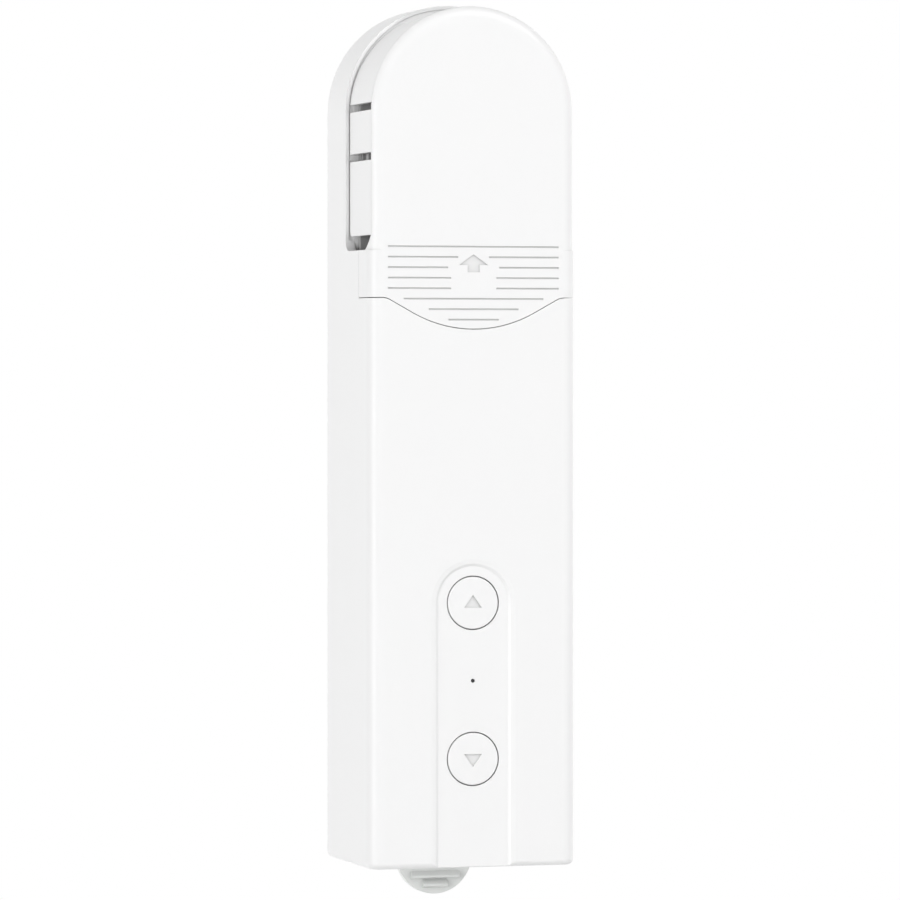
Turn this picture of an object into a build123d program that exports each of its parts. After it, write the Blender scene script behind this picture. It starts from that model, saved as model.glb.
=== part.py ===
from build123d import *
import os
from math import acos, atan2, cos, pi, radians, sin, sqrt, tan

# Roller shade motor for a bead chain. Millimetres. X is to the right, Y goes into the wall,
# Z is up. The origin is the middle of the wall bracket's back face. Depths are counted
# from the front face towards the wall, heights from the bottom edge of the body.

os.makedirs("parts", exist_ok=True)

# Overlap of the pieces of one solid, and how far a cut runs past a surface
join = 0.1
beyond = 1.0

# Body, outside
body_width = 42.0
arch_centre = 147.6
body_depth = 31.8
wall_gap = 0.2
front_edge_round = 2.6
bottom_edge_round = 1.2
rear_edge_round = 0.8
shell_wall = 1.8
front_wall = 2.0
head_ledge = 1.2
head_ledge_width = 1.3

# Chain cover
cover_side_gap = 0.2
cover_arch_drop = 0.5
cover_plate = 1.8
lip_depth = 1.2
skirt_inset = 0.8
skirt_wall = 1.4
skirt_back_gap = 0.2
skirt_slit = 2.9
recess_bottom = 120.05
recess_corner_round = 3.5
recess_rear_round = 2.2
skirt_corner_round = 1.5
rim_groove = (1.1, 0.2)
flap_depth = 7.85
chain_opening = 19.6
tongue_low = 139.0
tongue_high = 147.2
tongue_slot = 1.5
seam_gap = 0.15

# Seam between the body and the cover, as a V with a round point
seam_side_height = 110.7
seam_turn = 17.6
seam_slope = 29.0
seam_low_height = 104.6
seam_corner_round = 3.0

# Grip lines and arrow engraved in the cover
line_width = 0.3
line_depth = 0.25
line_first = 120.7
line_pitch = 2.027
line_half_lengths = [17.3, 17.3, 17.3, 17.3, 17.3, 14.15, 9.1, 5.1]
line_half_gaps = [0, 3.15, 5.2, 4.6, 4.6, 0, 0, 0]
arrow_tip = 119.2
arrow_height = 3.45
arrow_half_width = 2.9
arrow_stem = 2.4
arrow_wing = 2.03
arrow_depth = 0.3

# Button channel, buttons and indicator
up_height = 51.45
down_height = 21.1
channel_half_width = 7.15
channel_slope = 0.5
channel_lip = (0.86, 0.17)
channel_depth = 0.55
button_radius = 5.1
button_gap = 0.2
button_sink = 0.1
button_round = 0.25
button_flange = 0.9
button_flange_thickness = 0.8
button_rest_gap = 0.1
button_travel = 0.4
stem_radius = 1.5
mark_half_width = 1.78
mark_tip = 1.55
mark_base = 0.92
mark_depth = 0.3
indicator_height = 36.3
indicator_radius = 0.35
indicator_gap = 0.05
indicator_sink = 0.1
indicator_foot_radius = 1.0
indicator_foot_gap = 0.2
diode_size = (1.6, 0.8, 0.8)

# Main board and what it carries
board_front_depth = 6.2
board_thickness = 1.0
board_side_gap = 5.2
board_low = 2.3
board_high = 78.0
board_post_inset = 2.6
board_post_low = 10.0
board_post_high = 68.0
switch_size = 6.2
switch_thickness = 1.5
plunger_radius = 1.75
plunger_gap = 0.12
plunger_rest = 0.2
plunger_base = 0.5
switch_floor = 0.4
socket_width = 8.94
socket_thickness = 3.16
socket_length = 7.3
socket_gap = 0.3
socket_low = 0.6
socket_wall = 0.3
socket_floor = 1.2
socket_tongue = (6.6, 0.7)
socket_tongue_sink = 1.0
radio_side_gap = 0.9
radio_thickness = 2.4
radio_length = 16.0
radio_low = 59.0
radio_round = 0.8

# Battery
cell_length = 65.0
cell_low = 13.5
cell_between = 0.4
cell_back_gap = 1.0
cell_gap = 0.15
cell_round = 0.8
tray_side_gap = 0.3
tray_side_wall = 0.5
tray_front_gap = 0.4
tray_floor = 0.7
tray_saddle = 0.6
tray_end_wall = 8.4
tray_wall = 1.7
contact_thickness = 0.4
contact_width = 8.0
contact_half_depth = 3.5

# Chain sprocket and its shaft
bead_diameter = 4.5
bead_pitch = 6.0
bead_pockets = 8
bead_gap = 0.1
cord_groove = 1.8
cord_groove_depth = 2.4
sprocket_width = 7.4
sprocket_offset = 0.25
sprocket_radius = 9.0
sprocket_edge = 0.5
sprocket_hub_radius = 3.8
shaft_radius = 2.5
shaft_lead = 1.5
shaft_flat = 0.4
shaft_gap = 0.03
clip_radius = 4.2
clip_thickness = 0.8
clip_slit = 1.8
bearing_radius = 4.0
bearing_length = 5.2
bearing_boss_wall = 1.4
rear_bearing_radius = 3.6

# Gear train: modules and teeth of the stages, from the motor
pinion_teeth = 12
first_module = 0.5
first_teeth = 36
second_module = 0.6
second_teeth = 34
third_module = 0.7
third_teeth = 30
output_module = 0.9
output_teeth = 30
pressure_angle = 25.0
tooth_addendum = 0.95
tooth_dedendum = 1.25
tooth_thinning = 0.06
gear_width = 1.9
layer_gap = 0.3
axle_radius = 1.0
axle_gap = 0.05
hub_radius = 2.6
small_hub_radius = 2.0
third_axle_x = -5.5
second_axle_x = 4.5
first_axle_x = -2.0
motor_axle_x = 0.0

# Gearbox plates
frame_plate = 1.1
frame_gap = 0.3
frame_low = 86.2
lid_plate = 0.7
post_inset = 2.2
frame_screw_low = 90.0
frame_screw_high = 106.0
frame_post_radius = 1.9
frame_boss_radius = 2.8
upper_post_inset = 2.6
upper_post_angle = 52.0
upper_post_radius = 1.8

# Chain guide
guide_plate = 1.6
guide_side_gap = 0.4
guide_low = 111.3
guide_floor = 1.2
guide_front_gap = 0.3
guard_wall = 1.4
guard_gap = 0.9
guard_setback = 1.2
guard_top = 152.0
apron_half_width = 13.2
apron_low = 101.6
apron_thickness = 1.0
apron_gap = 0.15
rail_inset = 0.2
rail_width = 2.6
rail_length = 5.1
rail_height = (123.6, 140.0)
rail_lip = 1.8
rail_groove = 1.2
rail_gap = 0.2
rib_height = (125.0, 136.8)
guide_screw_height = 114.6

# Motor
motor_radius = 12.2
motor_front = 6.4
motor_cap_length = 2.4
motor_cap_radius = 11.7
motor_can_round = 0.6
motor_boss = 1.0
motor_collar_radius = 3.0
motor_collar_gap = 0.2
motor_shaft_radius = 1.0
motor_screw_pitch = 17.0
motor_thread = 2.0
motor_shaft_end = 0.8
pinion_front_end = 0.6

# Screws
screw_radius = 1.0
screw_head_radius = 1.5
screw_head = 1.1
screw_gap = 0.15
screw_head_gap = 0.4
screw_end_gap = 0.4
flat_head = 0.55
recess_length = 1.9
recess_width = 0.5
recess_depth = 0.35
screw_bite = 5.0
cover_screw_bite = 7.0
post_radius = 2.4
cover_post_radius = 1.8
post_rib = 1.2
cover_screw_heights = [6.5, 83.6, 138.5]

# Back cover and the channel for the bracket
back_gap = 0.15
back_plate = 1.5
channel_screw_gap = 3.2
channel_wall = 1.3
channel_rear = 4.3
lid_gap = 0.2
channel_floor_plate = 1.0
channel_top = 137.0
lip_reach = 2.8
lip_plate = 1.5
lip_low = 14.0
tab_pocket_side_gap = 1.4
tab_pocket_top = 10.6
tab_pocket_rise = 1.0
tab_pocket_gap = 0.6
tab_pocket_plate = 1.0
tab_pocket_wall = 0.6
rack_low = 12.6
rack_count = 8
rack_pitch = 1.5
rack_groove = 0.7
rack_depth = 0.5
rack_inset = 2.0

# Wall bracket and release tab
bracket_gap = 0.3
bracket_corner = 1.0
bracket_low = 22.0
bracket_high = 124.0
origin_height = 82.0
wall_screw_spacing = 64.0
wall_screw_radius = 2.1
wall_screw_head = 4.2
notch_cheek = 2.3
notch_top = 38.6
tab_pin_height = 34.0
tab_pin_radius = 0.75
tab_pin_gap = 0.05
barrel_radius = 1.3
arm_inset = 2.8
arm_thickness = 1.4
arm_sink = 0.2
tab_thickness = 1.8
tab_side_gap = 0.7
tab_low = -7.5
tab_jog_low = 2.2
tab_jog_root = 2.0
tab_jog_high = 6.0
ridge_height = 1.0
ridge_slope = 0.9
ridge_crest = 0.4
ridge_under = 0.35
ridges = [(4.95, -2.9), (2.5, -4.62)]
pin_end_gap = 0.7
pawl_low = 15.2
pawl_height = 0.9
pawl_gap = 0.12
spring_wire = 0.4
spring_turns = 3
spring_pitch = 0.5
spring_gap = 0.18
spring_leg = 3.0

# Leads between the board and the motor
connector_inset = 3.6
connector_size = (6.0, 2.6, 4.6)
connector_top = 76.6
lead_pitch = 3.0
lead_rises = (3.0, 4.6)
lead_slant = 3.0
lead_jog = 4.0
terminal_x = 7.0
terminal_low = 89.6
terminal_size = 2.0
lead_radius = 0.5
lead_bend = 1.4
lead_depth = 5.0

# Sizes worked out from the ones above
half_width = body_width / 2
front_to_wall = body_depth + wall_gap
seam_rise = 1 / cos(radians(seam_slope)) - 1
seam_point = seam_side_height - seam_turn * tan(radians(seam_slope))
seam_round = (seam_low_height - seam_point) / seam_rise
inner_half = half_width - shell_wall
cover_half = half_width - cover_side_gap
cover_centre = arch_centre - cover_arch_drop
skirt_half = half_width - skirt_inset
skirt_inner = skirt_half - skirt_wall
button_face = channel_depth - button_sink
board_back_depth = board_front_depth + board_thickness
board_half_width = inner_half - board_side_gap
board_post_x = board_half_width - board_post_inset
connector_x = board_half_width - connector_inset
radio_half = connector_x - connector_size[0] / 2 - radio_side_gap
channel_floor = body_depth - channel_rear
tab_pocket_floor = channel_floor - tab_pocket_rise
tab_front_depth = tab_pocket_floor + tab_pocket_gap
gear_layers = 3 * gear_width + 2 * layer_gap + 2 * layer_gap / 1.5
gear_stack = head_ledge + frame_gap / 3 + frame_plate + gear_layers + lid_plate
head_front_depth = channel_floor - lid_gap - gear_stack
skirt_back = head_front_depth - skirt_back_gap
frame_front = head_front_depth + head_ledge + frame_gap / 3
frame_back = frame_front + frame_plate
layer_one = frame_back + layer_gap / 1.5
layer_two = layer_one + gear_width + layer_gap
layer_three = layer_two + gear_width + layer_gap
lid_front = layer_three + gear_width + layer_gap / 1.5
lid_back = lid_front + lid_plate
guide_front = head_front_depth - guide_plate
guide_half_width = skirt_inner - guide_side_gap
rail_x = (guide_half_width - rail_inset - rail_width, guide_half_width - rail_inset)
rail_depth = (guide_front - rail_length, guide_front)
frame_screw_x = inner_half - post_inset
upper_post_distance = inner_half - upper_post_inset
guide_screw_x = inner_half - upper_post_inset
bearing_front = frame_back - bearing_length
sprocket_middle = (cover_plate + guide_front) / 2 + sprocket_offset
sprocket_front_depth = sprocket_middle - sprocket_width / 2
sprocket_back = sprocket_middle + sprocket_width / 2
shaft_front_depth = sprocket_front_depth - shaft_lead
guard_front_depth = sprocket_front_depth + guard_setback
tray_half_width = inner_half - tray_side_gap
tray_front_depth = board_back_depth + tray_front_gap
cell_room_deep = channel_floor - cell_back_gap - tray_front_depth - tray_floor
cell_room_wide = tray_half_width - tray_side_wall - cell_between / 2
cell_radius = min(cell_room_deep, cell_room_wide) / 2
cell_spacing = 2 * cell_radius + cell_between
cell_depth = tray_front_depth + tray_floor + cell_radius
tray_saddle_depth = cell_depth + tray_saddle
tray_end_depth = cell_depth + tray_end_wall
pitch_radius = bead_pitch / 2 / sin(pi / bead_pockets)
guard_inner = pitch_radius + bead_diameter / 2 + guard_gap
channel_back = channel_floor + channel_floor_plate
bracket_front = channel_back + bracket_gap
channel_half = frame_screw_x - channel_screw_gap
bracket_flange_half = channel_half - bracket_gap
bracket_web_half = channel_half - lip_reach - bracket_gap
notch_half = bracket_web_half - notch_cheek
pin_half = bracket_web_half - pin_end_gap
tab_round = notch_half - tab_side_gap
tab_pocket_half = tab_round + tab_pocket_side_gap
arm_half = notch_half - arm_inset
rack_half = arm_half - rack_inset
bracket_flange_back = body_depth - lip_plate - bracket_gap / 1.5
arm_front = bracket_front + arm_sink
tab_pin_depth = arm_front + barrel_radius


def face_plane(depth):
    # plane parallel to the front: its x is X, its y is the height above the body's bottom
    origin = (0, depth - front_to_wall, -origin_height)
    return Plane(origin=origin, x_dir=(1, 0, 0), z_dir=(0, -1, 0))


def side_plane(x):
    # plane parallel to the sides: its x is the depth, its y is the height
    return Plane(origin=(x, -front_to_wall, -origin_height), x_dir=(0, 1, 0), z_dir=(1, 0, 0))


def level_plane(height):
    # plane parallel to the bottom: its x is X, its y is the depth
    origin = (0, -front_to_wall, height - origin_height)
    return Plane(origin=origin, x_dir=(1, 0, 0), z_dir=(0, 0, 1))


def into_body(sketch, depths, mode=Mode.ADD):
    # fills a front-parallel sketch back from its plane, over the length of depths
    extrude(sketch.sketch, amount=depths[0] - depths[1], mode=mode)


def slab(xs, depths, heights, mode=Mode.ADD):
    # block between two values of X, of depth and of height
    with BuildSketch(face_plane(depths[0])) as outline:
        with Locations(((xs[0] + xs[1]) / 2, (heights[0] + heights[1]) / 2)):
            Rectangle(xs[1] - xs[0], heights[1] - heights[0])
    into_body(outline, depths, mode)


def rod(place, radius, depths, mode=Mode.ADD):
    # cylinder that runs front to back
    with BuildSketch(face_plane(depths[0])) as outline:
        with Locations(place):
            Circle(radius)
    into_body(outline, depths, mode)


def cross_rod(radius, xs, mode=Mode.ADD):
    # cylinder along the axis of the release tab
    with BuildSketch(side_plane(xs[0])) as outline:
        with Locations((tab_pin_depth, tab_pin_height)):
            Circle(radius)
    extrude(outline.sketch, amount=xs[1] - xs[0], mode=mode)


def arch(half, centre, low, depths, mode=Mode.ADD):
    # upright slab with a half-round top
    with BuildSketch(face_plane(depths[0])) as outline:
        with Locations((0, centre)):
            Circle(half)
        with Locations((0, (centre + low) / 2)):
            Rectangle(2 * half, centre - low)
    into_body(outline, depths, mode)


def mirrored(places):
    # the same places on the left and on the right
    return [(side * x, height) for x, height in places for side in (-1, 1)]


def around_post(place):
    # opening for a post of the shell and for the rib that ties it to the wall
    rod(place, cover_post_radius + frame_gap, (0, front_to_wall), Mode.SUBTRACT)
    ends = sorted((place[0], place[0] / abs(place[0]) * half_width))
    rib = (place[1] - post_rib / 2 - frame_gap, place[1] + post_rib / 2 + frame_gap)
    slab(ends, (0, front_to_wall), rib, Mode.SUBTRACT)


def screw(place, head_depth, tip_depth):
    # head behind, tip towards the front
    rod(place, screw_head_radius, (head_depth, head_depth + screw_head))
    rod(place, screw_radius, (tip_depth, head_depth))


def front_screw(place, head_depth, tip_depth):
    # head in front, tip towards the wall
    rod(place, screw_head_radius, (head_depth - screw_head, head_depth))
    rod(place, screw_radius, (head_depth, tip_depth))


def above_seam(lift, depths, mode):
    # everything above the V seam, raised by lift
    top = arch_centre + body_width
    side = seam_side_height + lift
    with BuildSketch(face_plane(depths[0])) as outline:
        with BuildLine():
            FilletPolyline(
                (-body_width, side),
                (-seam_turn, side),
                (0, seam_point + lift),
                (seam_turn, side),
                (body_width, side),
                radius=[seam_corner_round, seam_round, seam_corner_round],
            )
            Polyline((body_width, side), (body_width, top), (-body_width, top), (-body_width, side))
        make_face()
    into_body(outline, depths, mode)


def lip_section(level, side):
    # what the sloping wall and the flat lip of the button channel take off the front wall, on one side
    inner = side * channel_half_width
    edge = inner + side * channel_slope
    outer = edge + side * channel_lip[0]
    with BuildSketch(level_plane(level)) as section:
        with BuildLine():
            Polyline(
                (outer, 0),
                (edge, channel_lip[1]),
                (inner, channel_depth),
                (inner - side * join, channel_depth),
                (inner - side * join, -beyond),
                (outer, -beyond),
                close=True,
            )
        make_face()
    return section.sketch


def cross_recess(place):
    # cross recess in the back of a flat head
    for wide, high in ((recess_length, recess_width), (recess_width, recess_length)):
        slab(
            (place[0] - wide / 2, place[0] + wide / 2),
            (body_depth - recess_depth, body_depth + beyond),
            (place[1] - high / 2, place[1] + high / 2),
            Mode.SUBTRACT,
        )


def outer_block(half, centre, low, depths):
    # arched block with its front edge rounded
    arch(half, centre, low, depths)
    front = edges().group_by(Axis.Y)[0]
    fillet(front.filter_by(lambda edge: edge.center().Z > low - origin_height + beyond), front_edge_round)


# Gear geometry

def involute(angle):
    return tan(angle) - angle


def gear_outline(place, module, teeth, turn):
    # points of a spur gear about place, with one tooth centred at angle turn
    pitch = module * teeth / 2
    base = pitch * cos(radians(pressure_angle))
    tip = pitch + tooth_addendum * module
    root = pitch - tooth_dedendum * module
    half_tooth = (pi * module / 2 - tooth_thinning) / 2 / pitch + involute(radians(pressure_angle))
    start = max(root, base)
    radii = [start, (start + pitch) / 2, pitch, (pitch + tip) / 2, tip]
    if root < base:
        radii.insert(0, root)
    flank = []
    for radius in radii:
        ratio = min(1.0, base / radius)
        flank.append((radius, half_tooth - involute(acos(ratio))))
    points = []
    for tooth in range(teeth):
        middle = turn + 2 * pi * tooth / teeth
        for radius, half in flank:
            points.append((place[0] + radius * cos(middle - half), place[1] + radius * sin(middle - half)))
        for radius, half in reversed(flank):
            points.append((place[0] + radius * cos(middle + half), place[1] + radius * sin(middle + half)))
    return points


def gear(place, module, teeth, turn, depths):
    with BuildSketch(face_plane(depths[0])) as outline:
        with BuildLine():
            Polyline(*gear_outline(place, module, teeth, turn), close=True)
        make_face()
    into_body(outline, depths)


def next_axle(place, stage, x):
    # the axle of the pinion below, at the stage's centre distance
    module, pinion, wheel = stage
    distance = module * (pinion + wheel) / 2
    return (x, place[1] - sqrt(distance ** 2 - (x - place[0]) ** 2))


def meshed_turn(pinion_place, wheel_place, stage, wheel_turn):
    # angle of a pinion tooth when the wheel has a tooth at wheel_turn
    module, pinion, wheel = stage
    towards = atan2(pinion_place[1] - wheel_place[1], pinion_place[0] - wheel_place[0])
    slip = wheel * (wheel_turn - towards) + pi
    return towards + pi - slip / pinion


first_stage = (first_module, pinion_teeth, first_teeth)
second_stage = (second_module, pinion_teeth, second_teeth)
third_stage = (third_module, pinion_teeth, third_teeth)
output_stage = (output_module, pinion_teeth, output_teeth)
sprocket_place = (0.0, arch_centre)
third_place = next_axle(sprocket_place, output_stage, third_axle_x)
second_place = next_axle(third_place, third_stage, second_axle_x)
first_place = next_axle(second_place, second_stage, first_axle_x)
motor_place = next_axle(first_place, first_stage, motor_axle_x)
third_turn = meshed_turn(third_place, sprocket_place, output_stage, 0)
second_turn = meshed_turn(second_place, third_place, third_stage, 0)
first_turn = meshed_turn(first_place, second_place, second_stage, 0)
motor_turn = meshed_turn(motor_place, first_place, first_stage, 0)
upper_posts = mirrored(
    [
        (
            upper_post_distance * cos(radians(upper_post_angle)),
            arch_centre + upper_post_distance * sin(radians(upper_post_angle)),
        )
    ]
)
frame_posts = mirrored([(frame_screw_x, frame_screw_low), (frame_screw_x, frame_screw_high)])
cover_posts = mirrored([(frame_screw_x, height) for height in cover_screw_heights])
board_posts = mirrored([(board_post_x, board_post_low), (board_post_x, board_post_high)])
guide_posts = mirrored([(guide_screw_x, guide_screw_height)])
button_heights = [up_height, down_height]

# Body shell: front wall, side walls and the rear part of the arched head
with BuildPart() as body_shell:
    arch(half_width, arch_centre, 0, (0, body_depth))
    front_edges = edges().group_by(Axis.Y)[0]
    fillet(front_edges.filter_by(lambda edge: edge.center().Z > beyond - origin_height), front_edge_round)
    bottom_face = faces().sort_by(Axis.Z)[0]
    bottom_edges = bottom_face.edges().filter_by(
        lambda edge: edge.center().Y < body_depth - front_to_wall - beyond
    )
    fillet(bottom_edges, bottom_edge_round)
    rear_edges = edges().group_by(Axis.Y)[-1].filter_by(
        lambda edge: edge.center().Z > beyond - origin_height
    )
    fillet(rear_edges, rear_edge_round)
    # hollow, open at the back
    arch(inner_half, arch_centre, front_wall, (front_wall, body_depth + beyond), Mode.SUBTRACT)
    # the head's front half belongs to the cover
    above_seam(0, (-beyond, flap_depth + seam_gap), Mode.SUBTRACT)
    with BuildPart(mode=Mode.PRIVATE) as head_room:
        slab(
            (-body_width, body_width),
            (-beyond, head_front_depth),
            (recess_bottom, arch_centre + body_width),
        )
        rear_corner = edges().filter_by(Axis.X).group_by(Axis.Z)[0].sort_by(Axis.Y)[-1]
        fillet(rear_corner, recess_rear_round)
    add(head_room.part, mode=Mode.SUBTRACT)
    # groove behind the skirt, in the head's front rim
    arch(
        inner_half + rim_groove[0],
        arch_centre,
        recess_bottom + recess_rear_round,
        (head_front_depth - beyond, head_front_depth + rim_groove[1]),
        Mode.SUBTRACT,
    )
    # ledge around the head, between the chain guide and the gear frame
    arch(inner_half + join, arch_centre, recess_bottom, (head_front_depth, head_front_depth + head_ledge))
    arch(
        inner_half - head_ledge_width,
        arch_centre,
        recess_bottom - beyond,
        (head_front_depth - beyond, head_front_depth + head_ledge + beyond),
        Mode.SUBTRACT,
    )
    for place in upper_posts:
        rod(
            place,
            screw_radius + screw_gap,
            (head_front_depth - beyond, head_front_depth + head_ledge + beyond),
            Mode.SUBTRACT,
        )
    # button channel with sloping walls and a flat lip, open at the bottom
    arch(channel_half_width, up_height, -beyond, (-beyond, channel_depth), Mode.SUBTRACT)
    for side in (-1, 1):
        extrude(lip_section(-beyond, side), amount=up_height + beyond, mode=Mode.SUBTRACT)
    lip_axis = Axis((0, -front_to_wall, up_height - origin_height), (0, -1, 0))
    revolve(lip_section(up_height, 1), axis=lip_axis, revolution_arc=180, mode=Mode.SUBTRACT)
    for height in button_heights:
        rod((0, height), button_radius + button_gap, (-beyond, front_wall + beyond), Mode.SUBTRACT)
    rod(
        (0, indicator_height),
        indicator_radius + indicator_gap,
        (-beyond, front_wall + beyond),
        Mode.SUBTRACT,
    )
    # screw posts
    for place in frame_posts:
        rod(place, frame_boss_radius, (front_wall - join, frame_front))
        rod(place, screw_radius, (front_wall + screw_end_gap, frame_front), Mode.SUBTRACT)
    for place in board_posts:
        rod(place, post_radius, (front_wall - join, board_front_depth))
        rod(place, screw_radius, (front_wall + screw_end_gap, board_front_depth), Mode.SUBTRACT)
    for place in cover_posts:
        start = front_wall - join if place[1] < seam_low_height else head_front_depth
        rod(place, cover_post_radius, (start, body_depth - back_plate))
        ends = sorted((place[0], place[0] / abs(place[0]) * (half_width - shell_wall / 2)))
        rib = (place[1] - post_rib / 2, place[1] + post_rib / 2)
        slab(ends, (start, body_depth - back_plate), rib)
        hole_end = body_depth - back_plate - cover_screw_bite - screw_end_gap
        rod(place, screw_radius, (hole_end, body_depth), Mode.SUBTRACT)
    above_seam(0, (-beyond, flap_depth + seam_gap), Mode.SUBTRACT)
    # mouth of the charging socket
    with BuildSketch(level_plane(-beyond)) as socket_mouth:
        with Locations((0, board_front_depth - socket_thickness / 2)):
            SlotOverall(socket_width + 2 * socket_gap, socket_thickness + 2 * socket_gap)
    extrude(socket_mouth.sketch, amount=front_wall + 2 * beyond, mode=Mode.SUBTRACT)
    # the bracket and the release tab leave through the bottom
    slab(
        (-channel_half - channel_wall - back_gap, channel_half + channel_wall + back_gap),
        (tab_pocket_floor - tab_pocket_plate - back_gap, body_depth + beyond),
        (-beyond, front_wall + beyond),
        Mode.SUBTRACT,
    )
body_shell.part.label = "body_shell"
export_step(body_shell.part, "parts/body_shell.step")

# Chain cover: arched plate with a lip, an inset skirt, two side flaps and two snap tongues
with BuildPart() as chain_cover:
    outer_block(cover_half, cover_centre, seam_point, (0, skirt_back))
    with BuildSketch(face_plane(0)) as flaps:
        with Locations((0, (seam_point + recess_bottom) / 2)):
            Rectangle(body_width, recess_bottom - seam_point)
    with BuildPart(mode=Mode.PRIVATE) as flap_block:
        extrude(flaps.sketch, amount=-flap_depth)
        corner = flap_block.edges().filter_by(Axis.Z).group_by(Axis.Y)[0]
        fillet(corner, front_edge_round)
    add(flap_block.part)
    # below the recess nothing is deeper than the flaps
    slab(
        (-body_width, body_width),
        (flap_depth, head_front_depth),
        (seam_point - beyond, recess_bottom),
        Mode.SUBTRACT,
    )
    # recess around the skirt, behind the lip, with a rounded lower front corner
    with BuildPart(mode=Mode.PRIVATE) as recess:
        with BuildSketch(side_plane(-body_width)) as recess_side:
            with BuildLine():
                FilletPolyline(
                    (lip_depth, arch_centre + body_width),
                    (lip_depth, recess_bottom),
                    (head_front_depth, recess_bottom),
                    radius=recess_corner_round,
                )
                Polyline(
                    (head_front_depth, recess_bottom),
                    (head_front_depth, arch_centre + body_width),
                    (lip_depth, arch_centre + body_width),
                )
            make_face()
        extrude(recess_side.sketch, amount=2 * body_width)
        arch(skirt_half, cover_centre, recess_bottom - beyond, (0, head_front_depth), Mode.SUBTRACT)
    add(recess.part, mode=Mode.SUBTRACT)
    # inside of the cover
    arch(skirt_inner, cover_centre, seam_point - beyond, (cover_plate, head_front_depth), Mode.SUBTRACT)
    # slit under the skirt
    slab(
        (-skirt_half, skirt_half),
        (cover_plate, head_front_depth),
        (recess_bottom, recess_bottom + skirt_slit),
        Mode.SUBTRACT,
    )
    skirt_low = recess_bottom + skirt_slit - origin_height
    low_edges = edges().filter_by(Axis.X).filter_by(lambda edge: abs(edge.center().Z - skirt_low) < join)
    fillet(low_edges.group_by(Axis.Y)[-1], skirt_corner_round)
    # chain opening at the top
    slab(
        (-chain_opening / 2, chain_opening / 2),
        (cover_plate, head_front_depth),
        (arch_centre, arch_centre + body_width),
        Mode.SUBTRACT,
    )
    # slots above and below the snap tongues
    for low in (tongue_low - tongue_slot, tongue_high):
        slab(
            (-body_width, body_width),
            (cover_plate, head_front_depth),
            (low, low + tongue_slot),
            Mode.SUBTRACT,
        )
    # ribs that run in the rails of the chain guide
    rib_depths = (
        rail_depth[0] + rail_lip + rail_gap,
        rail_depth[0] + rail_lip + 2 * rail_groove - rail_gap,
    )
    for side in (-1, 1):
        ends = sorted((side * (rail_x[1] - rail_groove + rail_gap), side * (skirt_inner + join)))
        slab(ends, rib_depths, rib_height)
    # grip lines
    for count, (half, gap) in enumerate(zip(line_half_lengths, line_half_gaps)):
        height = line_first - count * line_pitch
        runs = [(-half, half)] if gap == 0 else [(-half, -gap), (gap, half)]
        for run in runs:
            slab(
                run,
                (-beyond, line_depth),
                (height - line_width / 2, height + line_width / 2),
                Mode.SUBTRACT,
            )
    # arrow that shows which way the cover slides
    with BuildSketch(face_plane(-beyond)) as arrow:
        with BuildLine():
            Polyline(
                (0, arrow_tip),
                (arrow_half_width, arrow_tip - arrow_wing),
                (arrow_stem / 2, arrow_tip - arrow_wing),
                (arrow_stem / 2, arrow_tip - arrow_height),
                (-arrow_stem / 2, arrow_tip - arrow_height),
                (-arrow_stem / 2, arrow_tip - arrow_wing),
                (-arrow_half_width, arrow_tip - arrow_wing),
                close=True,
            )
        make_face()
    into_body(arrow, (-beyond, arrow_depth), Mode.SUBTRACT)
    # lower edge along the seam
    with BuildPart(mode=Mode.PRIVATE) as kept:
        above_seam(seam_gap, (-beyond, head_front_depth), Mode.ADD)
    add(kept.part, mode=Mode.INTERSECT)
chain_cover.part.label = "chain_cover"
export_step(chain_cover.part, "parts/chain_cover.step")

# Buttons: a cap with a flange behind the front wall and a stem to its switch
flange_front = front_wall + button_rest_gap
switch_front = board_front_depth - switch_thickness
plunger_front = switch_front - button_travel - plunger_rest
for name, height, way in (("up", up_height, 1), ("down", down_height, -1)):
    with BuildPart() as button_cap:
        rod((0, height), button_radius, (button_face, flange_front + join))
        cap_edge = edges().group_by(Axis.Y)[0]
        fillet(cap_edge, button_round)
        rod(
            (0, height),
            button_radius + button_flange,
            (flange_front, flange_front + button_flange_thickness),
        )
        rod((0, height), stem_radius, (flange_front, plunger_front))
        # triangle that points the way the shade goes
        with BuildSketch(face_plane(button_face - beyond)) as mark:
            with BuildLine():
                Polyline(
                    (0, height + way * mark_tip),
                    (mark_half_width, height - way * mark_base),
                    (-mark_half_width, height - way * mark_base),
                    close=True,
                )
            make_face()
        into_body(mark, (button_face - beyond, button_face + mark_depth), Mode.SUBTRACT)
    button_cap.part.label = name + "_button_cap"
    export_step(button_cap.part, "parts/" + name + "_button_cap.step")

    # plunger in the switch, pressed by the stem
    with BuildPart() as plunger:
        rod((0, height), plunger_radius, (plunger_front, switch_front + plunger_base))
    plunger.part.label = name + "_switch_plunger"
    export_step(plunger.part, "parts/" + name + "_switch_plunger.step")

# Indicator: a dark pin that shows in the small hole between the buttons
with BuildPart() as indicator_pin:
    rod((0, indicator_height), indicator_radius, (channel_depth + indicator_sink, front_wall + join))
    foot_end = board_front_depth - diode_size[1] - indicator_foot_gap
    rod((0, indicator_height), indicator_foot_radius, (front_wall, foot_end))
indicator_pin.part.label = "indicator_pin"
export_step(indicator_pin.part, "parts/indicator_pin.step")

# Diode under the indicator pin
with BuildPart() as indicator_diode:
    slab(
        (-diode_size[0] / 2, diode_size[0] / 2),
        (board_front_depth - diode_size[1], board_front_depth),
        (indicator_height - diode_size[2] / 2, indicator_height + diode_size[2] / 2),
    )
indicator_diode.part.label = "indicator_diode"
export_step(indicator_diode.part, "parts/indicator_diode.step")

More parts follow.
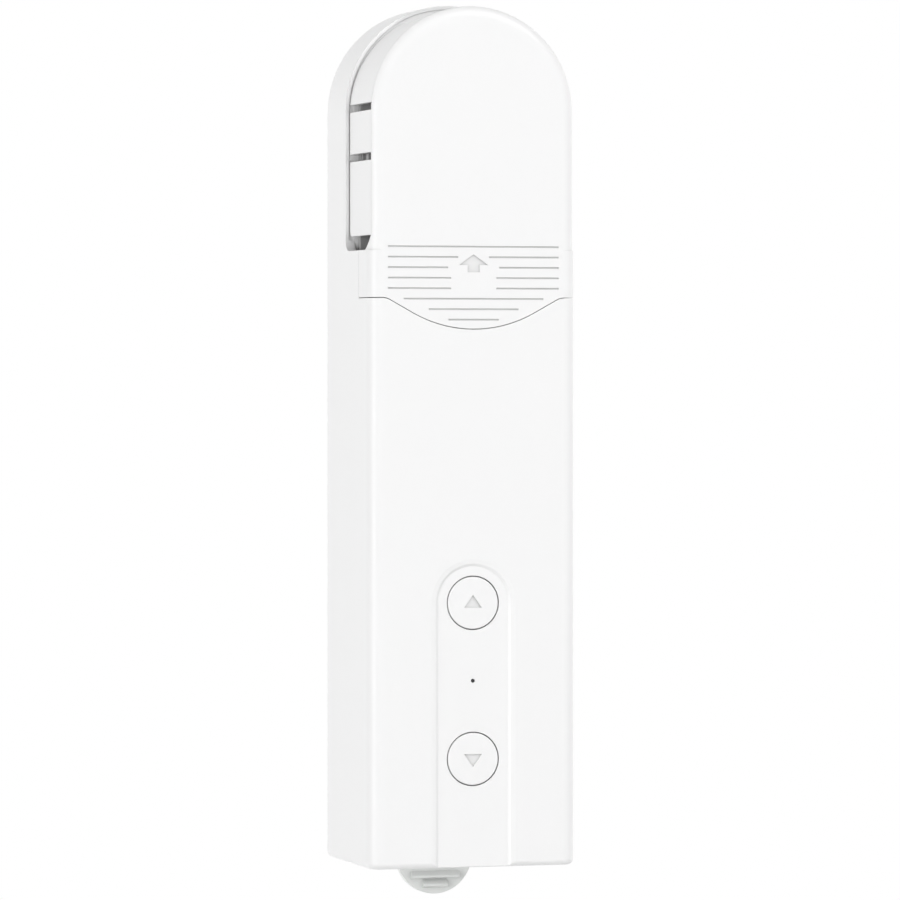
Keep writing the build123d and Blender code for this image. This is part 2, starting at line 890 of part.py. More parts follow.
# Main board
with BuildPart() as main_board:
    slab(
        (-board_half_width, board_half_width),
        (board_front_depth, board_back_depth),
        (board_low, board_high),
    )
    for place in board_posts:
        rod(place, screw_radius + screw_gap, (0, front_to_wall), Mode.SUBTRACT)
main_board.part.label = "main_board"
export_step(main_board.part, "parts/main_board.step")

# Bodies of the two switches
with BuildPart() as switch_bodies:
    for height in button_heights:
        slab(
            (-switch_size / 2, switch_size / 2),
            (switch_front, board_front_depth),
            (height - switch_size / 2, height + switch_size / 2),
        )
        rod(
            (0, height),
            plunger_radius + plunger_gap,
            (0, board_front_depth - switch_floor),
            Mode.SUBTRACT,
        )
switch_bodies.part.label = "switch_bodies"
export_step(switch_bodies.part, "parts/switch_bodies.step")

# Charging socket, a metal shell with a tongue
with BuildPart() as charging_socket:
    for low, high, shrink, mode in (
        (socket_low, socket_low + socket_length, 0, Mode.ADD),
        (0, socket_low + socket_length - socket_floor, socket_wall, Mode.SUBTRACT),
    ):
        with BuildSketch(level_plane(low)) as socket_ring:
            with Locations((0, board_front_depth - socket_thickness / 2)):
                SlotOverall(socket_width - 2 * shrink, socket_thickness - 2 * shrink)
        extrude(socket_ring.sketch, amount=high - low, mode=mode)
    middle = board_front_depth - socket_thickness / 2
    slab(
        (-socket_tongue[0] / 2, socket_tongue[0] / 2),
        (middle - socket_tongue[1] / 2, middle + socket_tongue[1] / 2),
        (socket_low + socket_tongue_sink, socket_low + socket_length - join),
    )
charging_socket.part.label = "charging_socket"
export_step(charging_socket.part, "parts/charging_socket.step")

# Radio module, above the switches
with BuildPart() as radio_module:
    slab(
        (-radio_half, radio_half),
        (board_front_depth - radio_thickness, board_front_depth),
        (radio_low, radio_low + radio_length),
    )
    shield = edges().filter_by(Axis.Y)
    fillet(shield, radio_round)
radio_module.part.label = "radio_module"
export_step(radio_module.part, "parts/radio_module.step")

# Board screws
with BuildPart() as board_screws:
    for place in board_posts:
        screw(place, board_back_depth, front_wall + 2 * screw_end_gap)
board_screws.part.label = "board_screws"
export_step(board_screws.part, "parts/board_screws.step")

# Battery cells
cell_xs = [-cell_spacing / 2, cell_spacing / 2]
with BuildPart() as battery_cells:
    for x in cell_xs:
        with BuildSketch(level_plane(cell_low)) as cell_circle:
            with Locations((x, cell_depth)):
                Circle(cell_radius)
        extrude(cell_circle.sketch, amount=cell_length)
    rims = edges().filter_by(GeomType.CIRCLE)
    fillet(rims, cell_round)
battery_cells.part.label = "battery_cells"
export_step(battery_cells.part, "parts/battery_cells.step")

# Battery tray with two saddles and an end wall at each end
contact_low = cell_low - contact_thickness
contact_high = cell_low + cell_length + contact_thickness
contact_half = (cell_spacing + contact_width) / 2
with BuildPart() as battery_tray:
    ends = (-tray_half_width, tray_half_width)
    slab(ends, (tray_front_depth, tray_saddle_depth), (contact_low - tray_wall, contact_high + tray_wall))
    for x in cell_xs:
        with BuildSketch(level_plane(contact_low)) as saddle:
            with Locations((x, cell_depth)):
                Circle(cell_radius + cell_gap)
        extrude(saddle.sketch, amount=contact_high - contact_low, mode=Mode.SUBTRACT)
    for low in (contact_low - tray_wall, contact_high):
        slab(ends, (tray_front_depth, tray_end_depth), (low, low + tray_wall))
    slab(
        (-contact_half, contact_half),
        (cell_depth - contact_half_depth, cell_depth + contact_half_depth),
        (contact_low, contact_high),
        Mode.SUBTRACT,
    )
    for place in board_posts:
        rod(place, screw_head_radius + screw_head_gap, (0, cell_depth), Mode.SUBTRACT)
    for place in cover_posts:
        rod(place, cover_post_radius + frame_gap, (0, body_depth), Mode.SUBTRACT)
battery_tray.part.label = "battery_tray"
export_step(battery_tray.part, "parts/battery_tray.step")

# Contact strips at the ends of the cells
with BuildPart() as battery_contacts:
    for low in (contact_low, contact_high - contact_thickness):
        slab(
            (-contact_half, contact_half),
            (cell_depth - contact_half_depth, cell_depth + contact_half_depth),
            (low, low + contact_thickness),
        )
battery_contacts.part.label = "battery_contacts"
export_step(battery_contacts.part, "parts/battery_contacts.step")

# Chain guide: partition behind the sprocket with a floor, an apron, a guard and two rails
with BuildPart() as chain_guide:
    arch(guide_half_width, cover_centre, guide_low, (guide_front, head_front_depth))
    slab(
        (-guide_half_width, guide_half_width),
        (cover_plate + guide_front_gap, guide_front),
        (guide_low, guide_low + guide_floor),
    )
    slab(
        (-apron_half_width, apron_half_width),
        (front_wall + apron_gap, front_wall + apron_gap + apron_thickness),
        (apron_low, guide_low + join),
    )
    # guard around the lower half of the sprocket
    with BuildSketch(face_plane(guard_front_depth)) as guard:
        for radius, mode in ((guard_inner + guard_wall, Mode.ADD), (guard_inner, Mode.SUBTRACT)):
            with Locations((0, arch_centre)):
                Circle(radius, mode=mode)
            with Locations((0, (arch_centre + guard_top) / 2)):
                Rectangle(2 * radius, guard_top - arch_centre, mode=mode)
        with Locations((0, guard_top + guard_inner)):
            Rectangle(4 * guard_inner, 2 * guard_inner, mode=Mode.SUBTRACT)
    into_body(guard, (guard_front_depth, guide_front + join))
    # boss and bore for the front bearing
    rod(sprocket_place, bearing_radius + bearing_boss_wall, (bearing_front, guide_front + join))
    rod(sprocket_place, bearing_radius, (0, front_to_wall), Mode.SUBTRACT)
    for side in (-1, 1):
        slab(sorted((side * rail_x[0], side * rail_x[1])), rail_depth, rail_height)
        groove_ends = sorted((side * (rail_x[1] - rail_groove), side * (rail_x[1] + beyond)))
        slab(
            groove_ends,
            (rail_depth[0] + rail_lip, rail_depth[0] + rail_lip + 2 * rail_groove),
            (rail_height[0] - beyond, rail_height[1] + beyond),
            Mode.SUBTRACT,
        )
    for place in upper_posts + guide_posts:
        rod(place, screw_radius + screw_gap, (guide_front - beyond, front_to_wall), Mode.SUBTRACT)
chain_guide.part.label = "chain_guide"
export_step(chain_guide.part, "parts/chain_guide.step")

# Screws of the chain guide, into the gear frame
with BuildPart() as guide_screws:
    for place in upper_posts + guide_posts:
        front_screw(place, guide_front, layer_two)
guide_screws.part.label = "guide_screws"
export_step(guide_screws.part, "parts/guide_screws.step")

# Gear frame: plate behind the head's ledge, with pillars for the lid
with BuildPart() as gear_frame:
    arch(inner_half - frame_gap, arch_centre, frame_low, (frame_front, frame_back))
    for place in frame_posts:
        rod(place, frame_post_radius, (frame_front, lid_front))
    for place in upper_posts:
        rod(place, upper_post_radius, (frame_front, lid_front))
    for place in guide_posts:
        rod(place, upper_post_radius, (frame_front, lid_front))
    for place in cover_posts:
        around_post(place)
    for place in frame_posts:
        rod(place, screw_radius + screw_gap, (0, front_to_wall), Mode.SUBTRACT)
    for place in upper_posts + guide_posts:
        rod(place, screw_radius, (0, layer_two + screw_end_gap), Mode.SUBTRACT)
    rod(sprocket_place, bearing_radius, (0, front_to_wall), Mode.SUBTRACT)
    rod(motor_place, motor_collar_radius + motor_collar_gap, (0, front_to_wall), Mode.SUBTRACT)
    for place in (first_place, second_place, third_place):
        rod(place, axle_radius, (0, front_to_wall), Mode.SUBTRACT)
    for side in (-1, 1):
        rod(
            (motor_place[0] + side * motor_screw_pitch / 2, motor_place[1]),
            screw_radius + screw_gap,
            (0, front_to_wall),
            Mode.SUBTRACT,
        )
gear_frame.part.label = "gear_frame"
export_step(gear_frame.part, "parts/gear_frame.step")

# Gearbox lid
with BuildPart() as gearbox_lid:
    arch(inner_half - frame_gap, arch_centre, frame_low, (lid_front, lid_back))
    for place in frame_posts:
        rod(place, screw_radius + screw_gap, (0, front_to_wall), Mode.SUBTRACT)
    for place in cover_posts:
        around_post(place)
    for place in (first_place, second_place, third_place):
        rod(place, axle_radius, (0, front_to_wall), Mode.SUBTRACT)
    rod(sprocket_place, rear_bearing_radius, (0, front_to_wall), Mode.SUBTRACT)
gearbox_lid.part.label = "gearbox_lid"
export_step(gearbox_lid.part, "parts/gearbox_lid.step")

# Long screws through the lid and the frame into the shell
with BuildPart() as gearbox_screws:
    for place in frame_posts:
        screw(place, lid_back, frame_front - screw_bite)
gearbox_screws.part.label = "gearbox_screws"
export_step(gearbox_screws.part, "parts/gearbox_screws.step")

# Axles of the three intermediate gears
with BuildPart() as gear_axles:
    for place in (first_place, second_place, third_place):
        rod(place, axle_radius, (frame_front, lid_back))
gear_axles.part.label = "gear_axles"
export_step(gear_axles.part, "parts/gear_axles.step")

# First gear: wheel in the rear layer, pinion in the middle layer
with BuildPart() as first_gear:
    gear(first_place, first_stage[0], first_stage[2], 0, (layer_three, layer_three + gear_width))
    gear(first_place, second_stage[0], second_stage[1], first_turn, (layer_two, layer_three + join))
    rod(first_place, small_hub_radius, (layer_one, layer_two + join))
    rod(first_place, axle_radius + axle_gap, (0, front_to_wall), Mode.SUBTRACT)
first_gear.part.label = "first_gear"
export_step(first_gear.part, "parts/first_gear.step")

# Second gear: wheel in the middle layer, pinion in the front layer
with BuildPart() as second_gear:
    gear(second_place, second_stage[0], second_stage[2], 0, (layer_two, layer_two + gear_width))
    gear(second_place, third_stage[0], third_stage[1], second_turn, (layer_one, layer_two + join))
    rod(second_place, small_hub_radius, (layer_two, layer_three + gear_width))
    rod(second_place, axle_radius + axle_gap, (0, front_to_wall), Mode.SUBTRACT)
second_gear.part.label = "second_gear"
export_step(second_gear.part, "parts/second_gear.step")

# Third gear: wheel in the front layer, pinion in the rear layer
with BuildPart() as third_gear:
    gear(third_place, third_stage[0], third_stage[2], 0, (layer_one, layer_one + gear_width))
    rod(third_place, hub_radius, (layer_one, layer_three + join))
    gear(third_place, output_stage[0], output_stage[1], third_turn, (layer_three, layer_three + gear_width))
    rod(third_place, axle_radius + axle_gap, (0, front_to_wall), Mode.SUBTRACT)
third_gear.part.label = "third_gear"
export_step(third_gear.part, "parts/third_gear.step")

# Output gear on the sprocket shaft
with BuildPart() as output_gear:
    gear(sprocket_place, output_stage[0], output_stage[2], 0, (layer_three, layer_three + gear_width))
    rod(sprocket_place, bearing_radius, (layer_one, layer_three + join))
    rod(sprocket_place, shaft_radius, (0, front_to_wall), Mode.SUBTRACT)
    slab(
        (-shaft_radius, shaft_radius),
        (layer_one, layer_three + gear_width),
        (arch_centre + shaft_radius - shaft_flat, arch_centre + shaft_radius + join),
    )
output_gear.part.label = "output_gear"
export_step(output_gear.part, "parts/output_gear.step")

# Sprocket shaft with a flat
with BuildPart() as sprocket_shaft:
    rod(sprocket_place, shaft_radius, (shaft_front_depth, lid_back))
    for depths in (
        (shaft_front_depth, sprocket_back),
        (layer_one, layer_three + gear_width),
    ):
        slab(
            (-body_width, body_width),
            depths,
            (arch_centre + shaft_radius - shaft_flat, arch_centre + body_width),
            Mode.SUBTRACT,
        )
sprocket_shaft.part.label = "sprocket_shaft"
export_step(sprocket_shaft.part, "parts/sprocket_shaft.step")

# Bead sprocket: pockets for the beads and a groove for the cord between them
with BuildPart() as bead_sprocket:
    rod(sprocket_place, sprocket_radius, (sprocket_front_depth, sprocket_back))
    rims = edges().filter_by(GeomType.CIRCLE)
    chamfer(rims, sprocket_edge)
    rod(sprocket_place, sprocket_hub_radius, (sprocket_back - join, bearing_front - layer_gap))
    rod(sprocket_place, shaft_radius, (0, front_to_wall), Mode.SUBTRACT)
    slab(
        (-shaft_radius, shaft_radius),
        (sprocket_front_depth, sprocket_back),
        (arch_centre + shaft_radius - shaft_flat, arch_centre + shaft_radius + join),
    )
    with BuildSketch(face_plane(sprocket_middle - cord_groove / 2)) as groove:
        with Locations(sprocket_place):
            Circle(sprocket_radius + beyond)
            Circle(sprocket_radius - cord_groove_depth, mode=Mode.SUBTRACT)
    into_body(groove, (0, cord_groove), Mode.SUBTRACT)
    for pocket in range(bead_pockets):
        angle = 2 * pi * pocket / bead_pockets
        height = arch_centre - origin_height + pitch_radius * sin(angle)
        centre = (pitch_radius * cos(angle), sprocket_middle - front_to_wall, height)
        outward = (cos(angle), 0, sin(angle))
        along_chain = (-sin(angle), 0, cos(angle))
        with Locations(Plane(origin=centre, x_dir=outward, z_dir=along_chain)):
            Sphere(bead_diameter / 2 + bead_gap, mode=Mode.SUBTRACT)
bead_sprocket.part.label = "bead_sprocket"
export_step(bead_sprocket.part, "parts/bead_sprocket.step")

# Clip that holds the sprocket on its shaft
with BuildPart() as sprocket_clip:
    rod(sprocket_place, clip_radius, (sprocket_front_depth - clip_thickness, sprocket_front_depth))
    slab(
        (-clip_slit / 2, clip_slit / 2),
        (sprocket_front_depth - clip_thickness, sprocket_front_depth),
        (arch_centre - clip_radius - beyond, arch_centre),
        Mode.SUBTRACT,
    )
    rod(sprocket_place, shaft_radius, (0, front_to_wall), Mode.SUBTRACT)
    slab(
        (-shaft_radius, shaft_radius),
        (sprocket_front_depth - clip_thickness, sprocket_front_depth),
        (arch_centre + shaft_radius - shaft_flat, arch_centre + shaft_radius + join),
    )
sprocket_clip.part.label = "sprocket_clip"
export_step(sprocket_clip.part, "parts/sprocket_clip.step")

# Bearings of the sprocket shaft
with BuildPart() as front_bearing:
    rod(sprocket_place, bearing_radius, (bearing_front, frame_back))
    rod(sprocket_place, shaft_radius + shaft_gap, (0, front_to_wall), Mode.SUBTRACT)
front_bearing.part.label = "front_bearing"
export_step(front_bearing.part, "parts/front_bearing.step")

with BuildPart() as rear_bearing:
    rod(sprocket_place, rear_bearing_radius, (lid_front, lid_back))
    rod(sprocket_place, shaft_radius + shaft_gap, (0, front_to_wall), Mode.SUBTRACT)
rear_bearing.part.label = "rear_bearing"
export_step(rear_bearing.part, "parts/rear_bearing.step")

# Motor: can, end cap, shaft and pinion
motor_back = frame_front
with BuildPart() as motor_can:
    rod(motor_place, motor_radius, (motor_front + motor_cap_length, motor_back))
    front_rim = edges().group_by(Axis.Y)[-1]
    fillet(front_rim, motor_can_round)
    rod(motor_place, motor_collar_radius, (motor_back - join, motor_back + frame_plate))
    rod(motor_place, motor_shaft_radius + shaft_gap, (0, front_to_wall), Mode.SUBTRACT)
    for side in (-1, 1):
        place = (motor_place[0] + side * motor_screw_pitch / 2, motor_place[1])
        rod(place, screw_radius, (motor_back - motor_thread, motor_back + beyond), Mode.SUBTRACT)
motor_can.part.label = "motor_can"
export_step(motor_can.part, "parts/motor_can.step")

with BuildPart() as motor_end_cap:
    rod(motor_place, motor_cap_radius, (motor_front, motor_front + motor_cap_length))
    rod(motor_place, motor_collar_radius, (motor_front - motor_boss, motor_front + join))
    for side in (-1, 1):
        x = motor_place[0] + side * terminal_x
        slab(
            (x - terminal_size / 2, x + terminal_size / 2),
            (lead_depth - lead_radius, motor_front + join),
            (terminal_low, terminal_low + terminal_size),
        )
    rod(
        motor_place,
        motor_shaft_radius + shaft_gap,
        (motor_front + motor_shaft_end - motor_collar_gap, front_to_wall),
        Mode.SUBTRACT,
    )
motor_end_cap.part.label = "motor_end_cap"
export_step(motor_end_cap.part, "parts/motor_end_cap.step")

with BuildPart() as motor_shaft:
    rod(motor_place, motor_shaft_radius, (motor_front + motor_shaft_end, layer_three + gear_width))
motor_shaft.part.label = "motor_shaft"
export_step(motor_shaft.part, "parts/motor_shaft.step")

with BuildPart() as motor_pinion:
    gear(
        motor_place,
        first_stage[0],
        first_stage[1],
        motor_turn,
        (layer_three - pinion_front_end, layer_three + gear_width),
    )
    rod(motor_place, motor_shaft_radius, (0, front_to_wall), Mode.SUBTRACT)
motor_pinion.part.label = "motor_pinion"
export_step(motor_pinion.part, "parts/motor_pinion.step")

with BuildPart() as motor_screws:
    for side in (-1, 1):
        place = (motor_place[0] + side * motor_screw_pitch / 2, motor_place[1])
        screw(place, frame_back, motor_back - motor_thread + screw_gap)
motor_screws.part.label = "motor_screws"
export_step(motor_screws.part, "parts/motor_screws.step")

# Back cover with the channel in which the bracket slides
with BuildPart() as back_cover:
    arch(inner_half - back_gap, arch_centre, front_wall + back_gap, (body_depth - back_plate, body_depth))
    # channel walls, floor and top
    outer = channel_half + channel_wall
    slab((-outer, outer), (channel_floor, body_depth), (0, channel_top + channel_wall))
    slab(
        (-channel_half, channel_half),
        (channel_back, body_depth - lip_plate),
        (-beyond, channel_top),
        Mode.SUBTRACT,
    )
    slab(
        (-channel_half + lip_reach, channel_half - lip_reach),
        (channel_back, body_depth + beyond),
        (-beyond, channel_top),
        Mode.SUBTRACT,
    )
    slab(
        (-channel_half, channel_half),
        (channel_back, body_depth + beyond),
        (-beyond, lip_low),
        Mode.SUBTRACT,
    )
    # pocket for the release tab
    pocket_outer = tab_pocket_half + channel_wall
    slab(
        (-pocket_outer, pocket_outer),
        (tab_pocket_floor - tab_pocket_plate, channel_back),
        (0, tab_pocket_top + tab_pocket_wall),
    )
    slab(
        (-tab_pocket_half, tab_pocket_half),
        (tab_pocket_floor, body_depth),
        (-beyond, tab_pocket_top),
        Mode.SUBTRACT,
    )
    # rack that the tab's tooth drops into
    for step in range(rack_count):
        low = rack_low + step * rack_pitch
        slab(
            (-rack_half, rack_half),
            (channel_back - rack_depth, channel_back + join),
            (low, low + rack_groove),
            Mode.SUBTRACT,
        )
    for place in cover_posts:
        rod(place, screw_radius + screw_gap, (0, front_to_wall), Mode.SUBTRACT)
        rod(
            place,
            screw_head_radius + screw_gap,
            (body_depth - flat_head, body_depth + beyond),
            Mode.SUBTRACT,
        )
back_cover.part.label = "back_cover"
export_step(back_cover.part, "parts/back_cover.step")

# Flat-headed screws of the back cover
with BuildPart() as back_cover_screws:
    for place in cover_posts:
        rod(place, screw_head_radius, (body_depth - flat_head, body_depth))
        rod(place, screw_radius, (body_depth - back_plate - cover_screw_bite, body_depth - flat_head))
        cross_recess(place)
back_cover_screws.part.label = "back_cover_screws"
export_step(back_cover_screws.part, "parts/back_cover_screws.step")

# Wall bracket: a web against the wall and a flange behind the lips of the channel
with BuildPart() as wall_bracket:
    slab(
        (-bracket_flange_half, bracket_flange_half),
        (bracket_front, bracket_flange_back),
        (bracket_low, bracket_high),
    )
    slab(
        (-bracket_web_half, bracket_web_half),
        (bracket_front, front_to_wall),
        (bracket_low, bracket_high),
    )
    upright = edges().filter_by(Axis.Y)
    fillet(upright.group_by(Axis.Z)[-1], bracket_corner)
    slab(
        (-notch_half, notch_half),
        (0, front_to_wall + beyond),
        (bracket_low - beyond, notch_top),
        Mode.SUBTRACT,
    )
    for side in (-1, 1):
        rod(
            (0, origin_height + side * wall_screw_spacing / 2),
            wall_screw_radius,
            (0, front_to_wall + beyond),
            Mode.SUBTRACT,
        )
        with BuildSketch(face_plane(bracket_front)) as sink_mouth:
            with Locations((0, origin_height + side * wall_screw_spacing / 2)):
                Circle(wall_screw_head)
        with BuildSketch(face_plane(bracket_front + wall_screw_head - wall_screw_radius)) as sink_end:
            with Locations((0, origin_height + side * wall_screw_spacing / 2)):
                Circle(wall_screw_radius)
        loft([sink_mouth.sketch.face(), sink_end.sketch.face()], mode=Mode.SUBTRACT)
    cross_rod(tab_pin_radius, (-pin_half, pin_half), Mode.SUBTRACT)
wall_bracket.part.label = "wall_bracket"
export_step(wall_bracket.part, "parts/wall_bracket.step")

# Pin of the release tab, held by the cheeks of the bracket's notch
with BuildPart() as tab_pin:
    cross_rod(tab_pin_radius, (-pin_half, pin_half))
tab_pin.part.label = "tab_pin"
export_step(tab_pin.part, "parts/tab_pin.step")

# Release tab: round finger plate with two sloping ridges, an arm with a tooth, and a barrel on the pin
with BuildPart() as release_tab:
    with BuildSketch(face_plane(tab_front_depth)) as plate:
        with Locations((0, tab_low + tab_round)):
            Circle(tab_round)
        with Locations((0, (tab_low + tab_round + tab_jog_low) / 2)):
            Rectangle(2 * tab_round, tab_jog_low - tab_low - tab_round)
        with Locations((0, tab_jog_low + tab_round)):
            Rectangle(2 * tab_round, 2 * tab_round, mode=Mode.SUBTRACT)
    into_body(plate, (tab_front_depth, tab_front_depth + tab_thickness))
    with BuildSketch(side_plane(-arm_half)) as arm:
        with BuildLine():
            Polyline(
                (tab_front_depth, tab_jog_low - tab_jog_root),
                (tab_front_depth + tab_thickness, tab_jog_low - tab_jog_root),
                (tab_front_depth + tab_thickness, tab_jog_low),
                (arm_front + arm_thickness, tab_jog_high),
                (arm_front + arm_thickness, tab_pin_height),
                (arm_front, tab_pin_height),
                (arm_front, tab_jog_high),
                (tab_front_depth, tab_jog_low),
                close=True,
            )
        make_face()
    extrude(arm.sketch, amount=2 * arm_half)
    cross_rod(barrel_radius, (-arm_half, arm_half))
    cross_rod(tab_pin_radius + tab_pin_gap, (-arm_half, arm_half), Mode.SUBTRACT)
    for half, top in ridges:
        crest = top - ridge_slope
        foot = crest - ridge_crest
        with BuildSketch(side_plane(-half)) as ridge:
            with BuildLine():
                Polyline(
                    (tab_front_depth + join, top),
                    (tab_front_depth, top),
                    (tab_front_depth - ridge_height, crest),
                    (tab_front_depth - ridge_height, foot),
                    (tab_front_depth, foot - ridge_under),
                    (tab_front_depth + join, foot - ridge_under),
                    close=True,
                )
            make_face()
        extrude(ridge.sketch, amount=2 * half)
    with BuildSketch(side_plane(-rack_half)) as pawl:
        with BuildLine():
            Polyline(
                (arm_front + join, pawl_low),
                (channel_back + pawl_gap, pawl_low),
                (arm_front + join, pawl_low + pawl_height),
                close=True,
            )
        make_face()
    extrude(pawl.sketch, amount=2 * rack_half)
release_tab.part.label = "release_tab"
export_step(release_tab.part, "parts/release_tab.step")

# Torsion spring around the pin, with one leg on each side
with BuildPart() as tab_spring:
    coil_middle = (arm_half + notch_half) / 2
    coil_length = spring_turns * spring_pitch
    centre = (coil_middle - coil_length / 2, tab_pin_depth - front_to_wall, tab_pin_height - origin_height)
    with BuildLine() as spring_path:
        coil = Helix(
            pitch=spring_pitch,
            height=coil_length,
            radius=tab_pin_radius + spring_gap + spring_wire / 2,
            center=centre,
            direction=(1, 0, 0),
            mode=Mode.PRIVATE,
        ).rotate(Axis(centre, (1, 0, 0)), 90)
        add(coil)
        Line(coil @ 0, (coil @ 0) - (coil % 0) * spring_leg)
        Line(coil @ 1, (coil @ 1) + (coil % 1) * spring_leg)
    start = spring_path.wire()
    with BuildSketch(Plane(origin=start @ 0, z_dir=start % 0)) as wire_section:
        Circle(spring_wire / 2)
    sweep(wire_section.sketch, path=start)
tab_spring.part.label = "tab_spring"
export_step(tab_spring.part, "parts/tab_spring.step")

# Connector on the board and the two leads up to the motor
with BuildPart() as lead_connector:
    slab(
        (connector_x - connector_size[0] / 2, connector_x + connector_size[0] / 2),
        (board_front_depth - connector_size[1], board_front_depth),
        (connector_top - connector_size[2], connector_top),
    )
lead_connector.part.label = "lead_connector"
export_step(lead_connector.part, "parts/lead_connector.step")

with BuildPart() as motor_leads:
    for side, rise in zip((-1, 1), lead_rises):
        start_x = connector_x + side * lead_pitch / 2
        end_x = motor_place[0] + side * terminal_x
        height = connector_top + rise
        places = (
            (start_x, lead_depth, connector_top),
            (start_x, lead_depth, height),
            (end_x, lead_depth, height),
            (end_x, lead_depth, terminal_low),
        )
        if abs(end_x - start_x) < lead_jog:
            places = (
                places[0],
                (start_x, lead_depth, height),
                (end_x, lead_depth, height + lead_slant),
                places[3],
            )
        points = [(x, depth - front_to_wall, z - origin_height) for x, depth, z in places]
        with BuildLine() as lead_path:
            FilletPolyline(*points, radius=lead_bend)
        with BuildSketch(Plane(origin=points[0], z_dir=(0, 0, 1))) as lead_section:
            Circle(lead_radius)
        sweep(lead_section.sketch, path=lead_path.wire())
motor_leads.part.label = "motor_leads"
export_step(motor_leads.part, "parts/motor_leads.step")
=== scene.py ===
# Roller shade motor: camera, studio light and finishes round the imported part.
import math
import bpy
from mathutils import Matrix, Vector

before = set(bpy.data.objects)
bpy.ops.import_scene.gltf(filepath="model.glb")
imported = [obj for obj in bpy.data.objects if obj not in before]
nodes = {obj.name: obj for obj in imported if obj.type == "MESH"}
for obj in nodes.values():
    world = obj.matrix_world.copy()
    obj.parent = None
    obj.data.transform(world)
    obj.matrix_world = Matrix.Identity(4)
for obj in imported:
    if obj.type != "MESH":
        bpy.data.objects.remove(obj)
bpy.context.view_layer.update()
mm = 0.001


# camera comes first
view = {
    "place": (-306.06 * mm, -1051.12 * mm, 14.64 * mm),
    "turn": 16.468,           # degrees to the right of straight at the front
    "focal": 5474.25,         # in pixels of a picture 900 wide
    "picture": 900,
    "middleRow": 370.5,       # picture row of the horizon
    "sensor": 36,             # sensor width in mm
    "clip": (0.05, 60),
}


def makeCamera():
    data = bpy.data.cameras.new("productCamera")
    camera = bpy.data.objects.new("productCamera", data)
    bpy.context.scene.collection.objects.link(camera)
    camera.location = view["place"]
    camera.rotation_euler = (math.radians(90), 0, -math.radians(view["turn"]))
    data.sensor_width = view["sensor"]
    data.lens = view["focal"] / view["picture"] * data.sensor_width
    data.shift_y = -(view["picture"] / 2 - view["middleRow"]) / view["picture"]
    data.clip_start, data.clip_end = view["clip"]
    bpy.context.scene.camera = camera


makeCamera()
print("camera in place")


# soft studio light round the middle of the body
studio = {
    "ambient": 0.26,
    "centre": (0, -0.01, 0),
    "lampDistance": 1.6,
    "floorHeight": -0.45,
    "floorSize": 12.0,
    "floorColour": (0.8, 0.8, 0.8, 1),
}

# share is what a lamp adds to a white surface that faces it, and a diffuseOnly lamp isn't reflected
lamps = {
    "leftKey": {"from": (-0.87, -0.50, 0.0), "size": 0.7, "share": 0.40},
    "leftRear": {"from": (-0.71, 0.71, 0.2), "size": 0.9, "share": 0.25, "diffuseOnly": True},
    "frontFill": {"from": (0.0, -0.94, -0.25), "size": 0.9, "share": 0.09},
    "topFill": {"from": (0.0, -0.7, 0.7), "size": 0.9, "share": 0.17},
    "topRight": {"from": (0.45, -0.62, 0.64), "size": 0.9, "share": 0.37},
    "rightFill": {"from": (0.77, -0.64, 0.0), "size": 0.9, "share": 0.10},
    "rightRear": {"from": (0.95, 0.3, 0.0), "size": 0.9, "share": 0.20, "diffuseOnly": True},
    "backFill": {"from": (0.1, 1.0, 0.1), "size": 0.9, "share": 0.30, "diffuseOnly": True},
}


def makeLamp(name, lamp):
    data = bpy.data.lights.new(name, "AREA")
    data.shape = "SQUARE"
    data.size = lamp["size"]
    data.energy = lamp["share"] * math.pi ** 2 * studio["lampDistance"] ** 2
    piece = bpy.data.objects.new(name, data)
    bpy.context.scene.collection.objects.link(piece)
    towards = Vector(lamp["from"]).normalized()
    piece.location = Vector(studio["centre"]) + towards * studio["lampDistance"]
    piece.rotation_euler = towards.to_track_quat("Z", "Y").to_euler()
    piece.visible_camera = False
    piece.visible_glossy = not lamp.get("diffuseOnly", False)


def seenDirectly(tree):
    # 1 for camera, glossy and transmission rays, which see the white surroundings
    rays = tree.nodes.new("ShaderNodeLightPath")
    total = rays.outputs["Is Camera Ray"]
    for other in ("Is Glossy Ray", "Is Transmission Ray"):
        add = tree.nodes.new("ShaderNodeMath")
        add.operation = "MAXIMUM"
        tree.links.new(total, add.inputs[0])
        tree.links.new(rays.outputs[other], add.inputs[1])
        total = add.outputs[0]
    return total


def makeWorld():
    world = bpy.data.worlds.new("studioWorld")
    bpy.context.scene.world = world
    world.use_nodes = True
    tree = world.node_tree
    tree.nodes.clear()
    surround = tree.nodes.new("ShaderNodeBackground")
    surround.inputs["Strength"].default_value = studio["ambient"]
    white = tree.nodes.new("ShaderNodeBackground")
    white.inputs["Strength"].default_value = 1.0
    for shade in (surround, white):
        shade.inputs["Color"].default_value = (1, 1, 1, 1)
    mix = tree.nodes.new("ShaderNodeMixShader")
    out = tree.nodes.new("ShaderNodeOutputWorld")
    tree.links.new(seenDirectly(tree), mix.inputs[0])
    tree.links.new(surround.outputs[0], mix.inputs[1])
    tree.links.new(white.outputs[0], mix.inputs[2])
    tree.links.new(mix.outputs[0], out.inputs[0])


